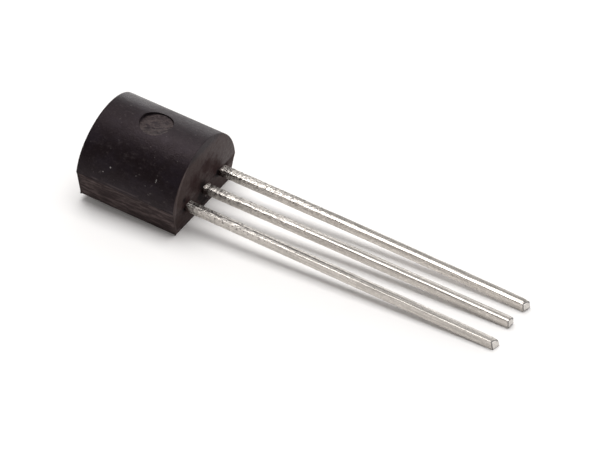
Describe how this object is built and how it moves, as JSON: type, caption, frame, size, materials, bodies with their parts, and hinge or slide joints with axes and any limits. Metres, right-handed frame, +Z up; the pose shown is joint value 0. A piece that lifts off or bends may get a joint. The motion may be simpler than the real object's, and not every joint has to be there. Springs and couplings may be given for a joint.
{
  "type": "voltage regulator",
  "caption": "Small voltage regulator in a D-shaped moulded package with straight stamped leads, lying on its flat side and lead tips.",
  "frame": {"origin": "middle of the flat face's edge at the lead end, where the body touches the surface it lies on", "axes": "+X along the surface towards the lead tips, +Y across the leads towards the output lead, +Z up from the surface"},
  "size_m": [0.0189, 0.0046, 0.0037],
  "materials": {
    "resin": "matte",
    "tinned_lead": "satin",
    "attach_solder": "satin",
    "silicon": "polished",
    "gold_wire": "polished"
  },
  "bodies": {
    "root": {"moulded_body": "resin", "ground_lead": "tinned_lead", "output_lead": "tinned_lead", "input_lead": "tinned_lead", "die_attach": "attach_solder", "silicon_die": "silicon", "ground_wire": "gold_wire", "output_wire": "gold_wire", "input_wire": "gold_wire"}
  },
  "joints": []
}
